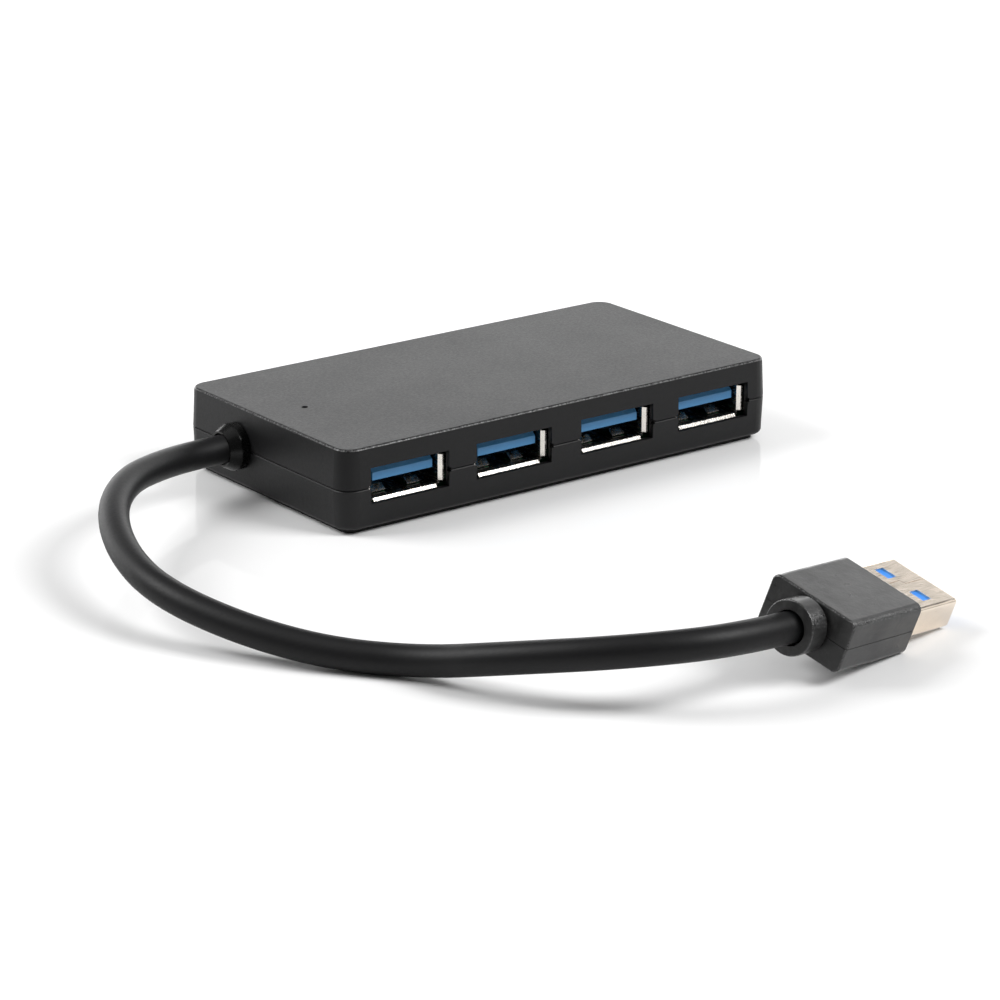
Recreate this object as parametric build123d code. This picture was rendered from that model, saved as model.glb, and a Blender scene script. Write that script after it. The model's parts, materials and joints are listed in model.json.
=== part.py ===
from build123d import *
import math
import os

os.makedirs("parts", exist_ok=True)

# A four-port USB 3.0 hub with a short captive cable. Millimetres, +Z up.
# The origin is the centre of the base that the housing stands on. The ports
# face -Y and the cable leaves the -X end, loops round in front and ends in a
# USB-A plug. Heights below count from the housing's lower edge, which is
# BASE_H above the table, and save() lifts every sub-part by that much.

# ---------------------------------------------------------------- housing
LENGTH = 84.0
WIDTH = 43.5
HEIGHT = 12.7
PARTING_Z = HEIGHT / 2
CORNER_R = 3.0
WALL = 1.6
FLOOR = 1.5
ROOF = 1.6
TOP_INSET = 0.3          # mould draft, as the inset of the top face
BOTTOM_INSET = 0.25
TOP_EDGE_R = 0.45
BOTTOM_EDGE_R = 0.75
SEAM = 0.1               # chamfer on both sides of the parting line
SEAM_GAP = 0.12          # open groove between the covers
SEAM_DEPTH = 0.6
BASE_H = 0.85            # shallow flat base under the housing
BASE_INSET = 1.8
HOOK_W = 6.0             # snap hooks, given by place along a side and the side
HOOK_T = 1.0
HOOK_DROP = 2.6
HOOK_BEAD = 0.3
HOOK_PLACES = ((-22.0, "back"), (0.0, "back"), (22.0, "back"), (-8.0, "left"), (8.0, "right"))
FRONT_Y = -WIDTH / 2
LEFT_X = -LENGTH / 2

# ---------------------------------------------------------------- ports
PORT_INNER_X = 10.15
PORT_OUTER_X = 29.85
PORT_XS = (-PORT_OUTER_X, -PORT_INNER_X, PORT_INNER_X, PORT_OUTER_X)
PORT_Z = 6.55
OPENING_W = 14.5
OPENING_H = 5.7
OPENING_DEPTH = 1.0      # thin front web round the opening, relieved behind
RELIEF_W = 15.8
RELIEF_H = 7.4
NOTCH_W = 0.35           # ejection notch beside each opening, at the parting
NOTCH_H = 0.7
NOTCH_DEPTH = 0.7

SHEET = 0.3              # port shell and plug shell sheet metal
MOUTH_W = 12.5           # USB-A receptacle
MOUTH_H = 5.12
LIP_RECESS = 1.2         # lips stand this far behind the housing's face
LIP_LENGTH = 0.5
LIP_FLARE = 0.5
LIP_BOTTOM_W = 11.7
LIP_SIDE_H = 4.1
SHELL_LENGTH = 17.0
TONGUE_W = 11.1
TONGUE_T = 1.84
TONGUE_LENGTH = 8.88
TONGUE_RECESS = 2.15
TONGUE_TOP_GAP = 0.67
TONGUE_CHAMFER = 0.6
REAR_BLOCK_LENGTH = 4.3
TAB_X = 3.25             # spring tabs in the shell's lower plate
TAB_W = 2.4
LOW_CONTACT_XS = (-3.5, -1.0, 1.0, 3.5)
HIGH_CONTACT_XS = (-4.0, -2.0, 0.0, 2.0, 4.0)
LOW_CONTACT_W = 1.0
HIGH_CONTACT_W = 0.7
STRIP_T = 0.2

# ---------------------------------------------------------------- board
BOARD_T = 1.6
BOARD_TOP = PORT_Z - MOUTH_H / 2 - SHEET
BOARD_BOTTOM = BOARD_TOP - BOARD_T
BOARD_LENGTH = 79.4
BOARD_FRONT_Y = -19.3
BOARD_BACK_Y = 19.3
LEG_BOTTOM = FLOOR + 0.15
PEG_R = 1.0
PEG_CLEARANCE = 0.1
PEG_PLACES = ((-37.6, 2.0), (37.6, 2.0), (-38.0, 16.0), (38.0, 16.0))
LED_X = -33.6
LED_Y = 0.8
LED_HEIGHT = 0.8
LIGHT_HOLE_R = 0.52

# ---------------------------------------------------------------- cable
CABLE_D = 4.5
CABLE_Y = 7.0
CABLE_Z = 6.5
COLLAR_R = 3.7
COLLAR_LENGTH = 3.1
COLLAR_CONE_LENGTH = 1.6
COLLAR_MOUTH_R = 2.8
COLLAR_EDGE_R = 0.8
NECK_R = 3.0
FLANGE_R = 4.6
FLANGE_T = 1.4
MOUTH_GAP = 0.25         # opening round the cable where it enters a moulding
MOUTH_GAP_DEPTH = 2.7
WIRE_R = 0.45
JACKET_START = -36.0

# ---------------------------------------------------------------- plug
PLUG_BASE = (-8.37, -99.84, 4.74)   # centre of the shell, 0.5 mm inside the grip
PLUG_YAW = 13.3
PLUG_PITCH = 7.0                   # nose down
PLUG_ROLL = 16.9                   # far side up
PLUG_W = 12.0
PLUG_H = 4.5
PLUG_LENGTH = 12.0
PLUG_BURIED = 5.0
PLUG_EDGE_R = 0.55
GRIP_W = 14.4
GRIP_H = 7.9
GRIP_BACK = -16.2
GRIP_FRONT = 0.5
GRIP_EDGE_R = 1.1
GRIP_END_R = 0.35
GRIP_SEAM = 0.1
BOOT_R = 3.9
BOOT_LENGTH = 3.9
BOOT_EDGE_R = 0.2
BOOT_GROOVE = 0.35
BOOT_GROOVE_W = 0.55
BOOT_MOUTH_DEPTH = 1.3
CABLE_BURIED = 3.6
STRAIGHT_BEHIND_PLUG = 8.5
WINDOW_Y = 3.1
WINDOW_W = 2.5
WINDOW_LENGTH = 2.0
WINDOW_START = 5.4
INSULATOR_T = 1.95

written = []


def save(name, shape):
    """Write one named sub-part, lifted to its height above the table."""
    solids = [Pos(0, 0, BASE_H) * solid for solid in shape.solids()]
    export_step(Compound(solids), f"parts/{name}.step")
    written.append(name)


def block(x0, x1, y0, y1, z0, z1):
    """An upright box between two corners."""
    centre = ((x0 + x1) / 2, (y0 + y1) / 2, (z0 + z1) / 2)
    return Pos(*centre) * Box(abs(x1 - x0), abs(y1 - y0), abs(z1 - z0))


def rod_x(x0, x1, y, z, radius):
    """A cylinder along X."""
    return Pos((x0 + x1) / 2, y, z) * Rot(0, 90, 0) * Cylinder(radius, abs(x1 - x0))


def rod_z(x, y, z0, z1, radius):
    """A cylinder along Z."""
    return Pos(x, y, (z0 + z1) / 2) * Cylinder(radius, abs(z1 - z0))


def profile_yz(points, x, width):
    """A side profile in Y and Z, given its width along X about x."""
    face = make_face(Polyline(*[(0, y, z) for y, z in points], close=True))
    return Pos(x - width / 2, 0, 0) * extrude(face, amount=width, dir=(1, 0, 0))


# ================================================================ covers
def cover_body(height, inset, edge_r):
    """The solid outside of one cover, widest at the parting line."""
    taper = math.degrees(math.atan(inset / height))
    outline = RectangleRounded(LENGTH, WIDTH, CORNER_R)
    body = extrude(outline, amount=height, taper=taper)
    far = body.faces().sort_by(Axis.Z)[-1]
    body = fillet(far.edges(), edge_r)
    near = body.faces().sort_by(Axis.Z)[0]
    return chamfer(near.edges(), SEAM)


def cavity(z0, z1):
    """The hollow inside the walls."""
    inner = RectangleRounded(LENGTH - 2 * WALL, WIDTH - 2 * WALL, CORNER_R - WALL)
    return Pos(0, 0, z0) * extrude(inner, amount=z1 - z0)


def port_cuts():
    """Openings for the ports, the relief behind each and its notches."""
    cuts = []
    back = FRONT_Y + WALL + 0.5
    for x in PORT_XS:
        half_w = OPENING_W / 2
        half_h = OPENING_H / 2
        cuts.append(block(x - half_w, x + half_w, FRONT_Y - 1, back,
                          PORT_Z - half_h, PORT_Z + half_h))
        cuts.append(block(x - RELIEF_W / 2, x + RELIEF_W / 2, FRONT_Y + OPENING_DEPTH, back,
                          PORT_Z - RELIEF_H / 2, PORT_Z + RELIEF_H / 2))
        for side in (-1, 1):
            edge = x + side * half_w
            outer = edge + side * NOTCH_W
            cuts.append(block(min(edge, outer), max(edge, outer), FRONT_Y - 1,
                              FRONT_Y + NOTCH_DEPTH, PARTING_Z - NOTCH_H / 2,
                              PARTING_Z + NOTCH_H / 2))
    return cuts


def gland_cut():
    """The hole in the end wall that the strain relief's neck sits in."""
    return rod_x(LEFT_X - 1, LEFT_X + WALL + 1, CABLE_Y, CABLE_Z, NECK_R)




def hook(place, side):
    """A snap hook that hangs from the top cover, with its bead."""
    low = PARTING_Z - HOOK_DROP
    high = PARTING_Z + 1.5
    bead_high = low + 0.8
    half = HOOK_W / 2
    if side == "back":
        face = WIDTH / 2 - WALL
        plate = block(place - half, place + half, face - HOOK_T, face, low, high)
        bead = block(place - half, place + half, face, face + HOOK_BEAD, low, bead_high)
    else:
        sign = -1 if side == "left" else 1
        face = sign * (LENGTH / 2 - WALL)
        inner = face - sign * HOOK_T
        outer = face + sign * HOOK_BEAD
        plate = block(min(face, inner), max(face, inner), place - half, place + half, low, high)
        bead = block(min(face, outer), max(face, outer), place - half, place + half,
                     low, bead_high)
    return plate + bead


def hook_pocket(place, side):
    """The pocket in the bottom cover's wall that a hook's bead snaps into."""
    low = PARTING_Z - HOOK_DROP - 0.1
    high = low + 1.1
    half = HOOK_W / 2 + 0.2
    depth = HOOK_BEAD + 0.1
    if side == "back":
        face = WIDTH / 2 - WALL
        return block(place - half, place + half, face - 0.1, face + depth, low, high)
    sign = -1 if side == "left" else 1
    face = sign * (LENGTH / 2 - WALL)
    near = face - sign * 0.1
    outer = face + sign * depth
    return block(min(near, outer), max(near, outer), place - half, place + half, low, high)


def make_top_cover():
    cover = Pos(0, 0, PARTING_Z) * cover_body(HEIGHT - PARTING_Z, TOP_INSET, TOP_EDGE_R)
    cover -= cavity(PARTING_Z - 1, HEIGHT - ROOF)
    for cut in port_cuts():
        cover -= cut
    cover -= gland_cut()
    cover -= rod_z(LED_X, LED_Y, HEIGHT - ROOF - 1, HEIGHT + 1, LIGHT_HOLE_R)
    sleeve = rod_z(LED_X, LED_Y, HEIGHT - ROOF - 3.0, HEIGHT - ROOF, LIGHT_HOLE_R + 0.8)
    cover += sleeve - rod_z(LED_X, LED_Y, HEIGHT - ROOF - 4, HEIGHT, LIGHT_HOLE_R)
    shell_top = PORT_Z + MOUTH_H / 2 + SHEET
    for x in PORT_XS:
        for y in (-15.0, -8.0):
            cover += block(x - 5, x + 5, y - 0.5, y + 0.5, shell_top, HEIGHT - ROOF)
    for place, side in HOOK_PLACES:
        cover += hook(place, side)
    return cover


def make_bottom_cover():
    rim_z = PARTING_Z - SEAM_GAP
    cover = Pos(0, 0, rim_z) * Rot(180, 0, 0) * cover_body(rim_z, BOTTOM_INSET, BOTTOM_EDGE_R)
    rim = RectangleRounded(LENGTH - 2 * SEAM_DEPTH, WIDTH - 2 * SEAM_DEPTH,
                           CORNER_R - SEAM_DEPTH)
    cover += Pos(0, 0, rim_z) * extrude(rim, amount=SEAM_GAP)
    base = RectangleRounded(LENGTH - 2 * BASE_INSET, WIDTH - 2 * BASE_INSET,
                            CORNER_R - BASE_INSET)
    cover += Pos(0, 0, -BASE_H) * extrude(base, amount=BASE_H + 0.1)
    cover -= cavity(FLOOR, PARTING_Z + 1)
    for cut in port_cuts():
        cover -= cut
    cover -= gland_cut()
    for place, side in HOOK_PLACES:
        cover -= hook_pocket(place, side)
    for x, y in PEG_PLACES:
        cover += rod_z(x, y, FLOOR, BOARD_BOTTOM, PEG_R + 0.8)
        cover += rod_z(x, y, FLOOR, BOARD_TOP + 0.6, PEG_R)
    for x in (-20.0, 0.0, 20.0):
        for y in (-15.0, 10.0):
            cover += block(x - 1.5, x + 1.5, y - 1.5, y + 1.5, FLOOR, BOARD_BOTTOM)
    return cover


# ================================================================ ports
LIP_Y = FRONT_Y + LIP_RECESS
SHELL_FRONT = LIP_Y + LIP_LENGTH
SHELL_BACK = SHELL_FRONT + SHELL_LENGTH
TONGUE_FRONT = FRONT_Y + TONGUE_RECESS
TONGUE_BACK = TONGUE_FRONT + TONGUE_LENGTH
BLOCK_BACK = TONGUE_BACK + REAR_BLOCK_LENGTH
TONGUE_TOP = PORT_Z + MOUTH_H / 2 - TONGUE_TOP_GAP
TONGUE_LOW = TONGUE_TOP - TONGUE_T
LOW_LEG_Y = BLOCK_BACK + 0.8
HIGH_LEG_Y = BLOCK_BACK + 2.0
SHELL_LEG_YS = (-16.5, -6.5)
SHELL_LEG_L = 1.2


def make_port_shell(x):
    """Folded sheet-metal shell: a tube with flared lips, tabs and legs."""
    half_w = MOUTH_W / 2
    half_h = MOUTH_H / 2
    low = PORT_Z - half_h
    high = PORT_Z + half_h
    shell = block(x - half_w - SHEET, x + half_w + SHEET, SHELL_FRONT, SHELL_BACK,
                  low - SHEET, high + SHEET)
    shell = fillet(shell.edges().filter_by(Axis.Y), 0.5)
    shell -= block(x - half_w, x + half_w, SHELL_FRONT - 1, SHELL_BACK - SHEET, low, high)
    # the underside is open at the back, where the contacts' legs come down
    shell -= block(x - half_w + 0.6, x + half_w - 0.6, BLOCK_BACK - 0.2, SHELL_BACK - SHEET,
                   low - 1, low + 0.1)
    shell += make_lips(x, low, high)
    for side in (-1, 1):
        tab_x = x + side * TAB_X
        gap = TAB_W / 2 + 0.3
        shell -= block(tab_x - gap, tab_x + gap, FRONT_Y + 3.4, FRONT_Y + 9.0, low - 1, low + 0.05)
        tab = [(FRONT_Y + 9.2, low - SHEET), (FRONT_Y + 9.2, low), (FRONT_Y + 4.9, low + 1.0),
               (FRONT_Y + 3.8, low + 0.25), (FRONT_Y + 3.8, low), (FRONT_Y + 4.9, low + 0.72)]
        shell += profile_yz(tab, tab_x, TAB_W)
        leg_x = x + side * (half_w + SHEET / 2)
        for y in SHELL_LEG_YS:
            shell += block(leg_x - SHEET / 2, leg_x + SHEET / 2, y - SHELL_LEG_L / 2,
                           y + SHELL_LEG_L / 2, LEG_BOTTOM, PORT_Z)
    return shell


def make_lips(x, low, high):
    """Four lips that flare out at the mouth, with gaps at the corners."""
    front = LIP_Y
    back = SHELL_FRONT
    bottom = [(back, low - SHEET), (back, low), (front, low - LIP_FLARE),
              (front, low - LIP_FLARE - SHEET)]
    top = [(y, 2 * PORT_Z - z) for y, z in bottom]
    lips = profile_yz(bottom, x, LIP_BOTTOM_W)
    lips += profile_yz(top, x, LIP_BOTTOM_W)
    # a nick in the middle of the lower lip, where the sheet's two ends meet
    lips -= block(x - 0.06, x + 0.06, front - 1, front + 0.35, low - 2, low + 1)
    for side in (-1, 1):
        wall = x + side * MOUTH_W / 2
        points = [(wall + side * SHEET, back), (wall, back),
                  (wall + side * LIP_FLARE, front),
                  (wall + side * (LIP_FLARE + SHEET), front)]
        face = make_face(Polyline(*points, close=True))
        plate = extrude(face, amount=LIP_SIDE_H)
        if plate.bounding_box().max.Z <= 0.01:
            plate = Pos(0, 0, LIP_SIDE_H) * plate
        lips += Pos(0, 0, PORT_Z - LIP_SIDE_H / 2) * plate
    return lips


def low_contact(x):
    """A sprung contact under the tongue, with its leg through the board."""
    top = TONGUE_LOW
    front = TONGUE_FRONT + 3.2
    leg = LOW_LEG_Y
    points = [(front, top - 0.25), (front + 0.9, top - 0.62), (front + 1.5, top - 0.62),
              (front + 2.6, top - STRIP_T - 0.05), (leg - STRIP_T, top - STRIP_T - 0.05),
              (leg - STRIP_T, LEG_BOTTOM), (leg, LEG_BOTTOM), (leg, top - 0.05),
              (front + 2.5, top - 0.05), (front + 1.4, top - 0.42), (front + 1.0, top - 0.42),
              (front, top - 0.05)]
    return profile_yz(points, x, LOW_CONTACT_W)


def high_contact(x):
    """A flat SuperSpeed blade let into the tongue's underside, with its leg."""
    z0 = TONGUE_LOW
    z1 = z0 + STRIP_T
    leg = HIGH_LEG_Y
    points = [(TONGUE_FRONT + 0.35, z0), (leg - STRIP_T, z0), (leg - STRIP_T, LEG_BOTTOM),
              (leg, LEG_BOTTOM), (leg, z1), (TONGUE_FRONT + 0.35, z1)]
    return profile_yz(points, x, HIGH_CONTACT_W)


def make_tongue(x, contacts):
    """Blue moulding: the tongue and the block that fills the shell behind it."""
    outline = [(TONGUE_FRONT, TONGUE_LOW), (TONGUE_FRONT, TONGUE_TOP - TONGUE_CHAMFER),
               (TONGUE_FRONT + TONGUE_CHAMFER, TONGUE_TOP), (TONGUE_BACK, TONGUE_TOP),
               (TONGUE_BACK, TONGUE_LOW)]
    tongue = profile_yz(outline, x, TONGUE_W)
    half_w = MOUTH_W / 2
    half_h = MOUTH_H / 2
    tongue += block(x - half_w, x + half_w, TONGUE_BACK, BLOCK_BACK,
                    PORT_Z - half_h, PORT_Z + half_h)
    for contact in contacts:
        tongue -= contact
    return tongue


def make_ports():
    for number, x in enumerate(PORT_XS, start=1):
        low = [low_contact(x + offset) for offset in LOW_CONTACT_XS]
        high = [high_contact(x + offset) for offset in HIGH_CONTACT_XS]
        save(f"port_{number}_shell", make_port_shell(x))
        save(f"port_{number}_tongue", make_tongue(x, low + high))
        save(f"port_{number}_contacts", Compound(children=low))
        save(f"port_{number}_superspeed_contacts", Compound(children=high))


# ================================================================ board
def make_board():
    """The circuit board, with holes for legs and locating pegs."""
    board = block(-BOARD_LENGTH / 2, BOARD_LENGTH / 2, BOARD_FRONT_Y, BOARD_BACK_Y,
                  BOARD_BOTTOM, BOARD_TOP)
    holes = []
    low = BOARD_BOTTOM - 1
    high = BOARD_TOP + 1
    for x in PORT_XS:
        for side in (-1, 1):
            leg_x = x + side * (MOUTH_W + SHEET) / 2
            for y in SHELL_LEG_YS:
                holes.append(block(leg_x - 0.35, leg_x + 0.35, y - 0.8, y + 0.8, low, high))
        for offset in LOW_CONTACT_XS:
            y = LOW_LEG_Y - STRIP_T / 2
            holes.append(block(x + offset - 0.6, x + offset + 0.6, y - 0.25, y + 0.25, low, high))
        for offset in HIGH_CONTACT_XS:
            y = HIGH_LEG_Y - STRIP_T / 2
            holes.append(block(x + offset - 0.5, x + offset + 0.5, y - 0.25, y + 0.25, low, high))
    for x, y in PEG_PLACES:
        holes.append(rod_z(x, y, low, high, PEG_R + PEG_CLEARANCE))
    # room for the snap hooks along the back edge and both ends
    for place, side in HOOK_PLACES:
        if side == "back":
            edge = WIDTH / 2 - WALL - HOOK_T - 0.3
            holes.append(block(place - 3.5, place + 3.5, edge, WIDTH, low, high))
        else:
            sign = -1 if side == "left" else 1
            edge = sign * (LENGTH / 2 - WALL - HOOK_T - 0.3)
            far = sign * LENGTH
            holes.append(block(min(edge, far), max(edge, far), place - 3.5, place + 3.5,
                               low, high))
    for hole in holes:
        board -= hole
    return board


def on_board(x, y, length, width, height):
    """A component body that stands on the board."""
    return Pos(x, y, BOARD_TOP + height / 2) * Box(length, width, height)


def make_chip():
    body = on_board(0.0, 6.0, 9.0, 9.0, 0.85)
    return chamfer(body.faces().sort_by(Axis.Z)[-1].edges(), 0.1)


def make_crystal():
    base = on_board(-9.0, 6.6, 5.0, 3.2, 0.4)
    can = fillet(on_board(-9.0, 6.6, 4.5, 2.7, 1.1).edges().filter_by(Axis.Z), 0.4)
    return base + can


def make_regulator():
    """A three-lead power package with its heat tab."""
    x = -18.0
    y = 6.0
    body = Pos(x, y, BOARD_TOP + 0.95) * Box(6.5, 3.5, 1.6)
    body += block(x - 1.5, x + 1.5, y, y + 3.5, BOARD_TOP, BOARD_TOP + 0.3)
    for offset in (-2.3, 0.0, 2.3):
        body += block(x + offset - 0.35, x + offset + 0.35, y - 3.5, y, BOARD_TOP,
                      BOARD_TOP + 0.3)
    return body


def make_can_capacitors():
    """One upright reservoir capacitor for each port, on a square foot."""
    cans = []
    for x in PORT_XS:
        foot = on_board(x, 14.0, 6.6, 6.6, 1.0)
        can = rod_z(x, 14.0, BOARD_TOP, BOARD_TOP + 5.4, 3.15)
        can = fillet(can.edges().sort_by(Axis.Z)[-1], 0.5)
        cans.append(foot + can)
    return Compound(children=cans)


def make_fuses():
    """A flat resettable fuse in each port's supply."""
    return Compound(children=[on_board(x, 2.0, 4.5, 3.2, 0.8) for x in PORT_XS[1:]]
                    + [on_board(PORT_XS[0] + 5.0, 2.0, 4.5, 3.2, 0.8)])


def make_small_parts(length, width, height, places):
    return Compound(children=[on_board(x, y, length, width, height) for x, y in places])


def capacitor_places():
    places = [(x, y) for x in (-3.5, 0.0, 3.5) for y in (-0.6, 12.0)]
    places += [(x + 5.2, 9.0) for x in PORT_XS[2:]]
    places += [(x, 9.6) for x in (-12.0, -7.0)]
    return places


def resistor_places():
    places = [(x, 16.5) for x in (-18.0, -3.0, 3.0, 17.0)]
    places += [(x, 6.5) for x in (15.0, 19.0, 23.0, 27.0)]
    return places


# ================================================================ light
def make_led():
    return on_board(LED_X, LED_Y, 1.6, 0.8, LED_HEIGHT)


def make_light_guide():
    """A clear pin that carries the lamp's light up to the hole in the roof."""
    foot = BOARD_TOP + LED_HEIGHT + 0.1
    return rod_z(LED_X, LED_Y, foot, HEIGHT - 0.5, LIGHT_HOLE_R - 0.02)


# ================================================================ cable
def make_strain_relief():
    """Rubber bush: round collar outside, neck in the wall, flange inside."""
    mouth = LEFT_X - COLLAR_LENGTH
    outline = make_face(Polyline((mouth, 0), (mouth, COLLAR_MOUTH_R),
                                 (mouth + COLLAR_CONE_LENGTH, COLLAR_R), (LEFT_X, COLLAR_R),
                                 (LEFT_X, 0), close=True))
    shoulder = outline.vertices().sort_by(Axis.Y)[-2:].sort_by(Axis.X)[0]
    outline = fillet(shoulder, COLLAR_EDGE_R)
    collar = Pos(0, CABLE_Y, CABLE_Z) * revolve(outline, Axis.X)
    inside = LEFT_X + WALL
    bush = collar + rod_x(LEFT_X, inside, CABLE_Y, CABLE_Z, NECK_R)
    flange = rod_x(inside, inside + FLANGE_T, CABLE_Y, CABLE_Z, FLANGE_R)
    # the flange is flat below, where it stands on the board's end
    flange -= block(inside - 1, inside + FLANGE_T + 1, CABLE_Y - 9, CABLE_Y + 9,
                    -9, BOARD_TOP)
    # and flat above, under the roof
    flange -= block(inside - 1, inside + FLANGE_T + 1, CABLE_Y - 9, CABLE_Y + 9,
                    HEIGHT - ROOF, HEIGHT + 9)
    bush += flange
    bush -= rod_x(LEFT_X - 9, inside + 9, CABLE_Y, CABLE_Z, CABLE_D / 2)
    bush -= rod_x(LEFT_X - 9, mouth + MOUTH_GAP_DEPTH, CABLE_Y, CABLE_Z,
                  CABLE_D / 2 + MOUTH_GAP)
    return bush


def plug_frame():
    """The plug's own frame: +X out of its nose, +Z through its top face."""
    return (Pos(*PLUG_BASE) * Rot(0, 0, PLUG_YAW) * Rot(0, PLUG_PITCH, 0)
            * Rot(PLUG_ROLL, 0, 0))


def plug_point(along):
    """A point on the plug's axis."""
    place = plug_frame() * Pos(along, 0, 0)
    return place.position


JACKET_END = plug_point(GRIP_BACK + CABLE_BURIED)
BEHIND_PLUG = plug_point(GRIP_BACK - BOOT_LENGTH - STRAIGHT_BEHIND_PLUG)

# The cable's route, by hand: straight out of the gland, up and round in a
# loose loop, down to the floor in front of the ports, and up into the plug.
ROUTE = [
    (JACKET_START, CABLE_Y, CABLE_Z),
    (-48.2, CABLE_Y, CABLE_Z),
    (-58.7, 2.6, 7.8),
    (-69.0, -4.1, 9.0),
    (-77.5, -13.8, 8.6),
    (-83.1, -26.3, 7.0),
    (-85.2, -39.4, 5.6),
    (-80.7, -52.5, 3.2),
    (-73.6, -63.6, 1.41),
    (-65.3, -73.6, 1.41),
    (-61.7, -85.6, 4.8),
    (-51.2, -100.5, 8.0),
    (BEHIND_PLUG.X, BEHIND_PLUG.Y, BEHIND_PLUG.Z),
    (JACKET_END.X, JACKET_END.Y, JACKET_END.Z),
]


def bend_radii(points):
    """The largest tangent arc that each corner's two runs allow."""
    places = [Vector(*point) for point in points]
    runs = [after - before for before, after in zip(places, places[1:])]
    radii = []
    for run, following in zip(runs, runs[1:]):
        turn = math.radians(run.get_angle(following))
        radii.append(0.45 * min(run.length, following.length) / math.tan(turn / 2))
    return radii


def make_cable():
    radii = bend_radii(ROUTE)
    path = FilletPolyline(*ROUTE, radius=radii)
    start = Plane(origin=path @ 0, z_dir=path % 0)
    tube = sweep(start * Circle(CABLE_D / 2), path=path)
    section = math.pi * (CABLE_D / 2) ** 2
    print("cable radii", [round(radius, 1) for radius in radii])
    print("cable runs", [round((Vector(*b) - Vector(*a)).length, 1)
                         for a, b in zip(ROUTE, ROUTE[1:])])
    print("cable length", round(path.length, 2), "volume over section x length",
          round(tube.volume / (section * path.length), 4))
    print("cable lowest point", round(tube.bounding_box().min.Z, 3))
    print("jacket end", JACKET_END, "behind plug", BEHIND_PLUG)
    return tube


def wire(start_y, start_z, end_x, end_y):
    """One insulated wire from the jacket's end to its pad on the board."""
    pad_z = BOARD_TOP + WIRE_R
    points = [(JACKET_START, start_y, start_z), (JACKET_START + 2.2, start_y, start_z),
              (end_x - 2.4, end_y, pad_z), (end_x, end_y, pad_z)]
    path = FilletPolyline(*points, radius=0.9)
    start = Plane(origin=path @ 0, z_dir=path % 0)
    return sweep(start * Circle(WIRE_R), path=path)


def make_power_wires():
    return Compound(children=[wire(CABLE_Y + 1.5, CABLE_Z, -27.5, CABLE_Y + 3.0),
                              wire(CABLE_Y - 1.5, CABLE_Z, -27.5, CABLE_Y - 3.0)])


def make_data_wires():
    wires = []
    for step, offset in enumerate((-0.9, 0.0, 0.9)):
        wires.append(wire(CABLE_Y + offset, CABLE_Z - 1.4 + 0.35 * (step % 2), -28.5,
                          CABLE_Y + 1.4 * (step - 1)))
    return Compound(children=wires)


# ================================================================ plug
def make_grip():
    """Moulded grip with rounded long edges, a seam and a round boot."""
    half_w = GRIP_W / 2
    half_h = GRIP_H / 2
    halves = []
    for side in (-1, 1):
        low, high = sorted((0, side * half_h))
        half = block(GRIP_BACK, GRIP_FRONT, -half_w, half_w, low, high)
        long_edges = half.edges().filter_by(Axis.X)
        outer = [edge for edge in long_edges if abs(edge.center().Z) > 1]
        half = fillet(outer, GRIP_EDGE_R)
        rim = [edge for edge in half.edges()
               if abs(edge.center().Z) > 0.01 and not edge.is_interior
               and edge.bounding_box().size.X < 0.01]
        half = fillet(rim, GRIP_END_R)
        halves.append(half)
    grip = halves[0] + halves[1]
    groove = (block(GRIP_BACK - 1, GRIP_FRONT + 1, -half_w - 1, half_w + 1,
                    -GRIP_SEAM / 2, GRIP_SEAM / 2)
              - block(GRIP_BACK + GRIP_SEAM, GRIP_FRONT - GRIP_SEAM, -half_w + GRIP_SEAM,
                      half_w - GRIP_SEAM, -1, 1))
    grip -= groove
    boot = rod_x(GRIP_BACK - BOOT_LENGTH, GRIP_BACK, 0, 0, BOOT_R)
    boot = fillet(boot.edges().sort_by(Axis.X)[0], BOOT_EDGE_R)
    ring = (rod_x(GRIP_BACK - BOOT_GROOVE_W, GRIP_BACK, 0, 0, BOOT_R + 1)
            - rod_x(GRIP_BACK - BOOT_GROOVE_W, GRIP_BACK, 0, 0, BOOT_R - BOOT_GROOVE))
    grip += boot - ring
    grip -= rod_x(GRIP_BACK - 9, GRIP_BACK + CABLE_BURIED, 0, 0, CABLE_D / 2)
    grip -= rod_x(GRIP_BACK - 9, GRIP_BACK - BOOT_LENGTH + BOOT_MOUTH_DEPTH, 0, 0,
                  CABLE_D / 2 + MOUTH_GAP)
    grip -= block(-PLUG_BURIED, GRIP_FRONT + 1, -PLUG_W / 2, PLUG_W / 2, -PLUG_H / 2, PLUG_H / 2)
    return grip


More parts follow.
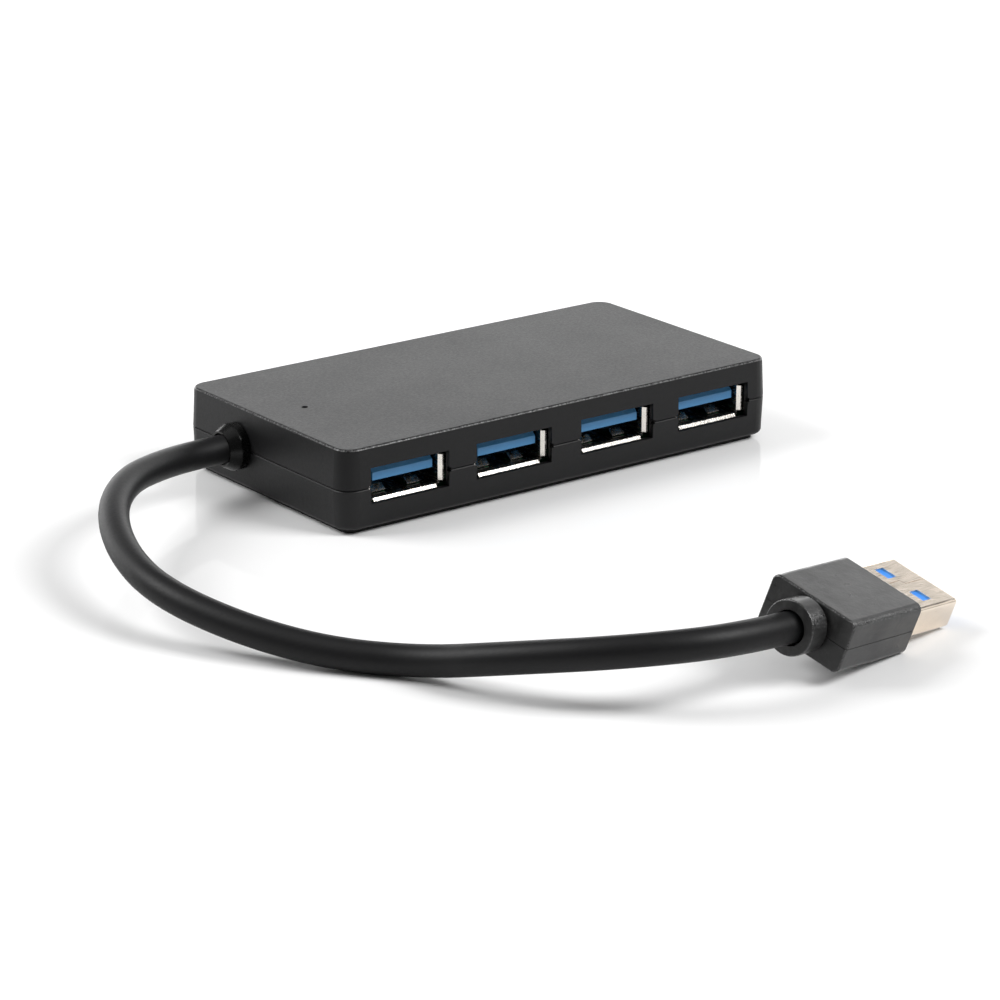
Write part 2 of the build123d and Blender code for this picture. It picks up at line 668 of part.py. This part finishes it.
def make_plug_shell():
    """Folded shell with two windows in each broad face and a seam on top."""
    half_w = PLUG_W / 2
    half_h = PLUG_H / 2
    shell = block(-PLUG_BURIED, PLUG_LENGTH, -half_w, half_w, -half_h, half_h)
    shell = fillet(shell.edges().filter_by(Axis.X), PLUG_EDGE_R)
    nose = shell.faces().sort_by(Axis.X)[-1]
    shell = fillet(nose.edges(), 0.18)
    shell -= block(-PLUG_BURIED - 1, PLUG_LENGTH + 1, -half_w + SHEET, half_w - SHEET,
                   -half_h + SHEET, half_h - SHEET)
    for side in (-1, 1):
        y = side * WINDOW_Y
        shell -= block(WINDOW_START, WINDOW_START + WINDOW_LENGTH, y - WINDOW_W / 2,
                       y + WINDOW_W / 2, -half_h - 1, half_h + 1)
    # seam line of the fold, stepped round its dovetail
    cut_z0 = half_h - 0.1
    cut_z1 = half_h + 1
    fine = 0.05
    step_start = 4.3
    step_end = 7.0
    step_y = 0.9
    shell -= block(GRIP_FRONT, step_start, -fine, fine, cut_z0, cut_z1)
    shell -= block(step_start - fine, step_start + fine, -fine, step_y, cut_z0, cut_z1)
    shell -= block(step_start, step_end, step_y - fine, step_y + fine, cut_z0, cut_z1)
    shell -= block(step_end - fine, step_end + fine, -fine, step_y, cut_z0, cut_z1)
    shell -= block(step_end, PLUG_LENGTH, -fine, fine, cut_z0, cut_z1)
    return shell


def plug_pad(y):
    """A flat power or data pad under the insulator, near the nose."""
    low = PLUG_H / 2 - SHEET - INSULATOR_T
    return block(4.6, PLUG_LENGTH - 1.2, y - 0.5, y + 0.5, low - 0.05, low + 0.15)


def plug_spring(y):
    """A sprung SuperSpeed contact, deeper under the insulator."""
    low = PLUG_H / 2 - SHEET - INSULATOR_T
    points = [(-1.0, low), (3.4, low), (3.4, low - 0.2), (2.6, low - 0.6), (1.6, low - 0.6),
              (0.4, low - 0.2), (-1.0, low - 0.2)]
    face = make_face(Polyline(*[(x, 0, z) for x, z in points], close=True))
    spring = extrude(face, amount=0.6, dir=(0, 1, 0))
    return Pos(0, y - 0.3, 0) * spring


def make_plug_insulator(pads):
    """Blue moulding that fills the shell's upper half and its buried end."""
    half_w = PLUG_W / 2 - SHEET
    high = PLUG_H / 2 - SHEET
    low = high - INSULATOR_T
    insulator = block(-PLUG_BURIED, PLUG_LENGTH - 0.4, -half_w, half_w, low, high)
    insulator += block(-PLUG_BURIED, -1.2, -half_w, half_w, -high, high)
    for pad in pads:
        insulator -= pad
    return insulator


def make_plug():
    frame = plug_frame()
    pads = [plug_pad(y) for y in LOW_CONTACT_XS]
    springs = [plug_spring(y) for y in HIGH_CONTACT_XS]
    pieces = {
        "plug_grip": make_grip(),
        "plug_shell": make_plug_shell(),
        "plug_insulator": make_plug_insulator(pads),
        "plug_contacts": Compound(children=pads),
        "plug_superspeed_contacts": Compound(children=springs),
    }
    lowest = 99.0
    for name, piece in pieces.items():
        placed = frame * piece
        lowest = min(lowest, placed.bounding_box().min.Z)
        save(name, placed)
    print("plug lowest point", round(lowest, 3))


# ================================================================ all
save("top_cover", make_top_cover())
save("bottom_cover", make_bottom_cover())
make_ports()
save("circuit_board", make_board())
save("hub_controller_chip", make_chip())
save("clock_crystal", make_crystal())
save("voltage_regulator", make_regulator())
save("can_capacitors", make_can_capacitors())
save("port_fuses", make_fuses())
save("ceramic_capacitors", make_small_parts(1.6, 0.8, 0.8, capacitor_places()))
save("chip_resistors", make_small_parts(1.6, 0.8, 0.5, resistor_places()))
save("status_led", make_led())
save("light_guide", make_light_guide())
save("strain_relief", make_strain_relief())
save("cable", make_cable())
save("power_wires", make_power_wires())
save("data_wires", make_data_wires())
make_plug()
print(len(written), "sub-parts written")
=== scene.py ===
import json
import math

import bpy
from mathutils import Matrix, Vector


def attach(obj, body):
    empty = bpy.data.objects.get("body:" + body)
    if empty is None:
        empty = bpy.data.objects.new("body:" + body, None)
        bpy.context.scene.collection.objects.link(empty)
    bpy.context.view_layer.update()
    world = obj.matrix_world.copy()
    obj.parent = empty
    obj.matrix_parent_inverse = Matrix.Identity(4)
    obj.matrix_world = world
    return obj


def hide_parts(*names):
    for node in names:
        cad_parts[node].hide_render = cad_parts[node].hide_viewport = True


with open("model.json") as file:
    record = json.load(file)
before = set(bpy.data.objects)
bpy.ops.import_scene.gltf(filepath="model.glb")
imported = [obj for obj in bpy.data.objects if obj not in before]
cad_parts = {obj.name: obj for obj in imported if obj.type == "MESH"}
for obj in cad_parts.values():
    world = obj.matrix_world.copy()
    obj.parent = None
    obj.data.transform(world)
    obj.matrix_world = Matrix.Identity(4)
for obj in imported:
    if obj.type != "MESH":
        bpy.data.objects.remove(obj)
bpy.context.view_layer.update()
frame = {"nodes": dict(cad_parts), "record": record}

MM = 0.001


# ---------------------------------------------------------------- camera
def make_camera():
    """A long lens at desk height, in front of the hub's cable end."""
    azimuth = math.radians(-37.41)
    elevation = math.radians(18.80)
    roll = math.radians(0.26)
    distance = 549.7 * MM
    target = Vector((-13.74, -22.73, 0.85)) * MM
    back = Vector((math.sin(azimuth) * math.cos(elevation),
                   -math.cos(azimuth) * math.cos(elevation), math.sin(elevation)))
    level = Vector((math.cos(azimuth), math.sin(azimuth), 0.0))
    upright = back.cross(level)
    right = level * math.cos(roll) + upright * math.sin(roll)
    up = upright * math.cos(roll) - level * math.sin(roll)
    data = bpy.data.cameras.new("camera")
    data.sensor_width = 36.0
    data.lens = 129.3
    data.clip_start = 0.01
    camera = bpy.data.objects.new("camera", data)
    bpy.context.scene.collection.objects.link(camera)
    turn = Matrix((right, up, back)).transposed().to_4x4()
    camera.matrix_world = Matrix.Translation(target + back * distance) @ turn
    bpy.context.scene.camera = camera


make_camera()

# ---------------------------------------------------------------- materials
PLUG_PLACE = Vector((-8.37, -99.84, 5.59)) * MM
PLUG_TURN = tuple(math.radians(angle) for angle in (16.9, 7.0, 13.3))
EDGE_WEAR_AND_HIGHLIGHT = (0.16, 0.16, 0.16)      # lighter edge colour: partly wear where the grain is rubbed off, partly a painted highlight
# Where each mask starts and ends, along one axis: painted shade inside the ports, and the top
# rims' wear and painted highlight.
PORT_MOUTH_Y = (-20.1 * MM, -18.6 * MM)
SPRING_TAB_LOW = (4.86 * MM, 4.92 * MM)
SPRING_TAB_HIGH = (5.7 * MM, 5.9 * MM)
TOP_RIM_Z = (11 * MM, 12 * MM)


class Recipe:
    """Builds one node material, step by step."""

    def __init__(self, name):
        self.material = bpy.data.materials.new(name)
        self.material.use_nodes = True
        self.tree = self.material.node_tree
        self.shader = self.tree.nodes["Principled BSDF"]
        coordinates = self.tree.nodes.new("ShaderNodeTexCoord")
        self.place = coordinates.outputs["Object"]
        self.normal = coordinates.outputs["Normal"]

    def node(self, kind, **settings):
        made = self.tree.nodes.new(kind)
        for key, value in settings.items():
            setattr(made, key, value)
        return made

    def link(self, source, target):
        self.tree.links.new(source, target)

    def stretched(self, scale, location=(0, 0, 0), rotation=(0, 0, 0)):
        """Object coordinates seen from another frame, then stretched."""
        frame_of = self.node("ShaderNodeMapping", vector_type="TEXTURE")
        frame_of.inputs["Location"].default_value = location
        frame_of.inputs["Rotation"].default_value = rotation
        self.link(self.place, frame_of.inputs["Vector"])
        stretch = self.node("ShaderNodeMapping", vector_type="POINT")
        stretch.inputs["Scale"].default_value = scale
        self.link(frame_of.outputs["Vector"], stretch.inputs["Vector"])
        return stretch.outputs["Vector"]

    def along(self, axis):
        """The object coordinate along one axis."""
        parts = self.node("ShaderNodeSeparateXYZ")
        self.link(self.place, parts.inputs["Vector"])
        return parts.outputs[axis]

    def edges(self, rotation=(0, 0, 0)):
        """1 on the rounded edges of a box turned by rotation and 0 on its faces,
        and how far the surface faces up or down."""
        turned = self.node("ShaderNodeMapping", vector_type="TEXTURE")
        turned.inputs["Rotation"].default_value = rotation
        self.link(self.normal, turned.inputs["Vector"])
        sizes = self.node("ShaderNodeVectorMath", operation="ABSOLUTE")
        self.link(turned.outputs["Vector"], sizes.inputs[0])
        parts = self.node("ShaderNodeSeparateXYZ")
        self.link(sizes.outputs["Vector"], parts.inputs["Vector"])
        largest = self.maths("MAXIMUM", parts.outputs["Z"],
                             self.maths("MAXIMUM", parts.outputs["X"], parts.outputs["Y"]))
        return self.spread(largest, 1.0, 0.0, 0.78, 0.96), parts.outputs["Z"]

    def noise(self, size, detail=3.0, roughness=0.55, vector=None, distortion=0.0):
        """Noise whose blobs are about size metres across."""
        made = self.node("ShaderNodeTexNoise")
        made.inputs["Scale"].default_value = 1.0 / size
        made.inputs["Detail"].default_value = detail
        made.inputs["Roughness"].default_value = roughness
        made.inputs["Distortion"].default_value = distortion
        self.link(vector or self.place, made.inputs["Vector"])
        return made.outputs["Fac"]

    def spread(self, value, low, high, start=0.3, end=0.7):
        """value from start to end, turned into low to high."""
        made = self.node("ShaderNodeMapRange")
        made.inputs["From Min"].default_value = start
        made.inputs["From Max"].default_value = end
        made.inputs["To Min"].default_value = low
        made.inputs["To Max"].default_value = high
        self.link(value, made.inputs["Value"])
        return made.outputs["Result"]

    def blend(self, fac, first, second):
        """A colour between two, each a colour or an output."""
        made = self.node("ShaderNodeMix", data_type="RGBA")
        self.link(fac, made.inputs["Factor"])
        for slot, colour in (("A", first), ("B", second)):
            socket = [s for s in made.inputs if s.name == slot and s.type == "RGBA"][0]
            if isinstance(colour, tuple):
                socket.default_value = (*colour, 1.0)
            else:
                self.link(colour, socket)
        return [s for s in made.outputs if s.type == "RGBA"][0]

    def maths(self, operation, first, second):
        made = self.node("ShaderNodeMath", operation=operation)
        for socket, value in zip(made.inputs, (first, second)):
            if isinstance(value, (int, float)):
                socket.default_value = value
            else:
                self.link(value, socket)
        return made.outputs["Value"]

    def bump(self, layers):
        """Stacks bumps: each layer is a height output and its depth in metres."""
        normal = None
        for height, depth in layers:
            made = self.node("ShaderNodeBump")
            made.inputs["Strength"].default_value = 1.0
            made.inputs["Distance"].default_value = depth
            self.link(height, made.inputs["Height"])
            if normal:
                self.link(normal, made.inputs["Normal"])
            normal = made.outputs["Normal"]
        self.link(normal, self.shader.inputs["Normal"])

    def set(self, **values):
        for key, value in values.items():
            self.shader.inputs[key.replace("_", " ")].default_value = value

    def colour(self, output):
        self.link(output, self.shader.inputs["Base Color"])

    def roughness(self, output):
        self.link(output, self.shader.inputs["Roughness"])


def tinted(colour, factor):
    return tuple(min(1.0, channel * factor) for channel in colour)


def moulded(name, colour, rough, grain, depth, level, mottle):
    """Moulded plastic or rubber with a fine grain and faint mottling."""
    recipe = Recipe(name)
    broad = recipe.noise(9 * MM, 2.0)
    fine = recipe.noise(grain, 4.0, 0.6)
    mixed = recipe.maths("ADD", recipe.maths("MULTIPLY", broad, 0.25),
                         recipe.maths("MULTIPLY", fine, 0.75))
    recipe.colour(recipe.blend(recipe.spread(mixed, 0.0, 1.0), tinted(colour, 1 - mottle),
                               tinted(colour, 1 + mottle)))
    recipe.roughness(recipe.spread(mixed, rough - 0.05, rough + 0.05))
    recipe.bump([(fine, depth)])
    recipe.set(Specular_IOR_Level=level)
    return recipe.material


def metal(name, colour, rough, stretch=(1, 1, 1), location=(0, 0, 0), rotation=(0, 0, 0),
          depth=0.004 * MM):
    """Plated sheet with a fine grain along one direction and faint stains."""
    recipe = Recipe(name)
    along = recipe.stretched(stretch, location, rotation)
    brushed = recipe.noise(0.25 * MM, 4.0, 0.65, along)
    stains = recipe.noise(3.5 * MM, 3.0, 0.6)
    recipe.colour(recipe.blend(recipe.spread(stains, 0.0, 1.0), tinted(colour, 0.88), colour))
    recipe.roughness(recipe.spread(brushed, rough - 0.07, rough + 0.08))
    recipe.bump([(brushed, depth)])
    recipe.set(Metallic=1.0)
    return recipe.material


def cased(name, colour, rough, level):
    """Spark-eroded housing: pebbled grain, and rims polished by handling; the upward top rims
    are also lightened, partly as wear and partly as a painted highlight.
    """
    recipe = Recipe(name)
    broad = recipe.noise(12 * MM, 3.0)
    grain = recipe.noise(0.42 * MM, 3.0, 0.6)
    fine = recipe.noise(0.2 * MM, 3.0, 0.6)
    edge, upward = recipe.edges()
    # Top rims that face up: where the edge wear and the painted highlight go.
    upper = recipe.maths("MULTIPLY", recipe.spread(upward, 0.0, 1.0, 0.2, 0.5),
                         recipe.spread(recipe.along("Z"), 0.0, 1.0, *TOP_RIM_Z))
    rim = recipe.maths("MULTIPLY", edge, upper)
    base = recipe.blend(recipe.spread(broad, 0.0, 1.0), tinted(colour, 0.85),
                        tinted(colour, 1.15))
    # Lighter colour on those rims, broken up by the grain: partly wear, partly a painted
    # highlight.
    wear_and_painted_highlight = recipe.maths("MULTIPLY", rim, recipe.spread(grain, 0.0, 1.0, 0.42, 0.62))
    recipe.colour(recipe.blend(wear_and_painted_highlight, base, EDGE_WEAR_AND_HIGHLIGHT))
    speckle = recipe.maths("ADD", recipe.spread(broad, rough - 0.015, rough + 0.015),
                           recipe.spread(grain, 0.045, -0.045))
    polish = recipe.maths("MULTIPLY", rim, recipe.spread(grain, 0.14, 0.24))
    recipe.roughness(recipe.maths("SUBTRACT", speckle, polish))
    recipe.set(Specular_IOR_Level=level)
    recipe.bump([(grain, 0.010 * MM), (fine, 0.012 * MM)])
    return recipe.material


def port_metal(name, colour, rough):
    """Bright plated lips and spring tabs; deeper in the port the colour is darkened to dark
    grey as painted shade, less so on the tabs.
    """
    recipe = Recipe(name)
    brushed = recipe.noise(0.25 * MM, 4.0, 0.65, recipe.stretched((1, 0.1, 1)))
    stains = recipe.noise(3.5 * MM, 3.0, 0.6)
    # Painted shade: the colour darkens with depth into the port, and only partly on the spring
    # tabs.
    inside = recipe.spread(recipe.along("Y"), 0.0, 1.0, *PORT_MOUTH_Y)
    tabs = recipe.maths("MULTIPLY", recipe.spread(recipe.along("Z"), 0.0, 1.0, *SPRING_TAB_LOW),
                        recipe.spread(recipe.along("Z"), 1.0, 0.0, *SPRING_TAB_HIGH))
    kept = recipe.maths("SUBTRACT", 1.0, recipe.maths("MULTIPLY", tabs, 0.6))
    painted_shade = recipe.maths("MULTIPLY", inside, kept)
    plate = recipe.blend(recipe.spread(stains, 0.0, 1.0), tinted(colour, 0.88), colour)
    # The painted shade takes the plate down to a tenth of its colour.
    recipe.colour(recipe.blend(painted_shade, plate, tinted(colour, 0.10)))
    recipe.roughness(recipe.spread(brushed, rough - 0.07, rough + 0.08))
    recipe.bump([(brushed, 0.002 * MM)])
    recipe.set(Metallic=1.0)
    return recipe.material


def scuffed(name, colour, rough, level):
    """Satin moulding with a pebbled grain, handling scuffs and polished spots; its edges are
    lightened, partly as wear and partly as a painted highlight.
    """
    recipe = Recipe(name)
    fine = recipe.noise(0.3 * MM, 4.0, 0.6)
    pebble = recipe.noise(0.8 * MM, 2.0)
    broad = recipe.noise(6 * MM, 3.0, 0.6)
    scuffs = recipe.noise(2.0 * MM, 5.0, 0.7,
                          recipe.stretched((0.25, 1, 1), PLUG_PLACE, PLUG_TURN), 0.6)
    base = recipe.blend(recipe.spread(scuffs, 0.0, 1.0, 0.45, 0.75), tinted(colour, 0.8),
                        tinted(colour, 1.9))
    edge = recipe.edges(PLUG_TURN)[0]
    # Lighter colour on the edges, broken up by the grain: partly wear, partly a painted
    # highlight.
    wear_and_painted_highlight = recipe.maths("MULTIPLY", edge, recipe.spread(fine, 0.0, 1.0, 0.48, 0.68))
    recipe.colour(recipe.blend(wear_and_painted_highlight, base, EDGE_WEAR_AND_HIGHLIGHT))
    worn = recipe.maths("MULTIPLY", recipe.spread(broad, 0.75, 1.2),
                        recipe.spread(scuffs, rough - 0.06, rough + 0.12))
    polish = recipe.maths("MULTIPLY", edge, recipe.spread(fine, 0.05, 0.2))
    recipe.roughness(recipe.maths("SUBTRACT", worn, polish))
    recipe.set(Specular_IOR_Level=level)
    recipe.bump([(pebble, 0.020 * MM), (fine, 0.010 * MM)])
    return recipe.material


def make_materials():
    """One material for each slot of the record, by the slot's name."""
    plastics = {
        # colour, roughness, grain size, grain depth, specular level, mottling
        "bush_rubber": ((0.003, 0.003, 0.003), 0.26, 0.3, 0.004, 0.25, 0.12),
        "cable_rubber": ((0.006, 0.006, 0.0065), 0.50, 0.40, 0.025, 0.23, 0.12),
        "blue_plastic": ((0.045, 0.27, 0.85), 0.38, 0.3, 0.003, 0.5, 0.06),
        "tongue_plastic": ((0.05, 0.215, 0.44), 0.38, 0.3, 0.003, 0.5, 0.06),
        "board_laminate": ((0.01, 0.10, 0.04), 0.3, 0.4, 0.002, 0.5, 0.12),
        "chip_plastic": ((0.02, 0.02, 0.02), 0.5, 0.2, 0.005, 0.5, 0.12),
        "fuse_plastic": ((0.03, 0.09, 0.05), 0.4, 0.3, 0.004, 0.5, 0.12),
        "ceramic": ((0.38, 0.27, 0.16), 0.45, 0.2, 0.004, 0.5, 0.12),
        "lamp_plastic": ((0.8, 0.78, 0.65), 0.3, 0.3, 0.002, 0.5, 0.12),
        "power_wire_plastic": ((0.5, 0.02, 0.015), 0.35, 0.3, 0.003, 0.5, 0.12),
        "data_wire_plastic": ((0.06, 0.25, 0.08), 0.35, 0.3, 0.003, 0.5, 0.12),
        "clear_plastic": ((0.75, 0.78, 0.8), 0.25, 0.4, 0.003, 0.5, 0.12),
    }
    made = {}
    for name, (colour, rough, grain, depth, level, mottle) in plastics.items():
        made[name] = moulded(name, colour, rough, grain * MM, depth * MM, level, mottle)
    made["housing_plastic"] = cased("housing_plastic", (0.005, 0.005, 0.0055), 0.45, 0.30)
    made["grip_plastic"] = scuffed("grip_plastic", (0.018, 0.018, 0.018), 0.36, 0.55)
    made["plug_steel"] = metal("plug_steel", (0.86, 0.75, 0.63), 0.21, (0.08, 1, 1),
                               PLUG_PLACE, PLUG_TURN, 0.0007 * MM)
    made["port_steel"] = port_metal("port_steel", (0.90, 0.86, 0.80), 0.24)
    made["plated_metal"] = metal("plated_metal", (0.72, 0.71, 0.68), 0.25)
    made["can_aluminium"] = metal("can_aluminium", (0.80, 0.80, 0.82), 0.3)
    made["contact_gold"] = metal("contact_gold", (0.90, 0.66, 0.28), 0.2)
    return made


materials = make_materials()
for entry in frame["record"]["subparts"]:
    obj = frame["nodes"][entry["node"]]
    obj.data.materials.clear()
    obj.data.materials.append(materials[entry["material_slot"]])


# ---------------------------------------------------------------- cable
CABLE_D = 4.5 * MM
# The same route as the model's, in millimetres.
ROUTE = [
    (-36.0, 7.0, 7.35),
    (-48.2, 7.0, 7.35),
    (-58.7, 2.6, 8.65),
    (-69.0, -4.1, 9.85),
    (-77.5, -13.8, 9.45),
    (-83.1, -26.3, 7.85),
    (-85.2, -39.4, 6.45),
    (-80.7, -52.5, 4.05),
    (-73.6, -63.6, 2.26),
    (-65.3, -73.6, 2.26),
    (-61.7, -85.6, 5.65),
    (-51.2, -100.5, 8.85),
    (-35.9955, -106.370, 9.0755),
    (-20.5407, -102.717, 7.1256),
]


def make_cable():
    """The jacket as one smooth curve, in place of the model's tube."""
    data = bpy.data.curves.new("cable_jacket", "CURVE")
    data.dimensions = "3D"
    data.resolution_u = 24
    data.bevel_depth = CABLE_D / 2
    data.bevel_resolution = 12
    data.use_fill_caps = True
    line = data.splines.new("NURBS")
    line.points.add(len(ROUTE) - 1)
    for point, place in zip(line.points, ROUTE):
        point.co = (*(Vector(place) * MM), 1.0)
    line.use_endpoint_u = True
    line.order_u = 3
    cable = bpy.data.objects.new("cable_jacket", data)
    bpy.context.scene.collection.objects.link(cable)
    data.materials.append(materials["cable_rubber"])
    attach(cable, "root")
    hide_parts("cable")
    nodes = frame["nodes"]
    ends = [nodes["strain_relief"]]
    ends += [nodes[name] for name in sorted(nodes) if name.startswith("plug_")]


make_cable()


# ---------------------------------------------------------------- stage
AWAY = (0.607, 0.794, 0.0)          # level, from the camera's side to the far side
UP = (0.0, 0.0, 1.0)
ROOM_LIGHT = 0.12
BACKDROP_LIGHT = 3.3
OVERHEAD_LIGHT = 0.5
LAMP_DISTANCE = 0.8
LAMP_AIM = Vector((0.0, -0.04, 0.0))
FLOOR_REACH = 4.0


def soft_box(name, azimuth, elevation, side, power):
    """A square lamp that shines on the hub from that azimuth and elevation, in degrees."""
    data = bpy.data.lights.new(name, "AREA")
    data.shape = "RECTANGLE"
    data.size = side
    data.size_y = side
    data.energy = power
    lamp = bpy.data.objects.new(name, data)
    a, e = math.radians(azimuth), math.radians(elevation)
    lamp.location = Vector((math.cos(a) * math.cos(e), math.sin(a) * math.cos(e),
                            math.sin(e))) * LAMP_DISTANCE
    lamp.rotation_euler = (LAMP_AIM - lamp.location).to_track_quat("-Z", "Y").to_euler()
    bpy.context.scene.collection.objects.link(lamp)


def make_floor():
    """A pale, faintly glossy table top."""
    data = bpy.data.meshes.new("floor")
    far = FLOOR_REACH
    corners = [(-far, -far, 0), (far, -far, 0), (far, far, 0), (-far, far, 0)]
    data.from_pydata(corners, [], [(0, 1, 2, 3)])
    floor = bpy.data.objects.new("floor", data)
    bpy.context.scene.collection.objects.link(floor)
    recipe = Recipe("floor_gloss")
    cloud = recipe.noise(60 * MM, 3.0)
    recipe.colour(recipe.blend(recipe.spread(cloud, 0.0, 1.0), (0.80, 0.80, 0.80),
                               (0.82, 0.82, 0.82)))
    recipe.set(Roughness=0.05, Specular_IOR_Level=0.04)
    data.materials.append(recipe.material)


def make_world():
    """A dim room with a bright low backdrop behind the hub and a panel overhead."""
    world = bpy.data.worlds.new("room")
    world.use_nodes = True
    bpy.context.scene.world = world
    tree = world.node_tree
    place = tree.nodes.new("ShaderNodeTexCoord").outputs["Generated"]

    def facing(direction):
        """How far each part of the sky lies towards a direction, from -1 to 1."""
        dot = tree.nodes.new("ShaderNodeVectorMath")
        dot.operation = "DOT_PRODUCT"
        dot.inputs[1].default_value = direction
        tree.links.new(place, dot.inputs[0])
        return dot.outputs["Value"]

    def step(value, start, end, low, high):
        ramp = tree.nodes.new("ShaderNodeMapRange")
        ramp.interpolation_type = "SMOOTHSTEP"
        for name, number in (("From Min", start), ("From Max", end), ("To Min", low),
                             ("To Max", high)):
            ramp.inputs[name].default_value = number
        tree.links.new(value, ramp.inputs["Value"])
        return ramp.outputs["Result"]

    def combine(operation, first, second):
        made = tree.nodes.new("ShaderNodeMath")
        made.operation = operation
        tree.links.new(first, made.inputs[0])
        tree.links.new(second, made.inputs[1])
        return made.outputs["Value"]

    behind = step(facing(AWAY), 0.2, 0.75, 0.0, BACKDROP_LIGHT)
    height = facing(UP)
    backdrop = combine("MULTIPLY", behind, step(height, 0.25, 0.39, 1.0, 0.0))
    overhead = step(height, 0.80, 0.92, ROOM_LIGHT, ROOM_LIGHT + OVERHEAD_LIGHT)
    background = tree.nodes["Background"]
    background.inputs["Color"].default_value = (1.0, 1.0, 1.0, 1.0)
    tree.links.new(combine("ADD", backdrop, overhead), background.inputs["Strength"])


make_floor()
make_world()
# Two soft boxes face each other across the table.
soft_box("right_light", azimuth=-56, elevation=42, side=0.34, power=5.6)
soft_box("left_light", azimuth=145, elevation=40, side=0.42, power=5.2)
bpy.context.scene.view_settings.view_transform = "Standard"
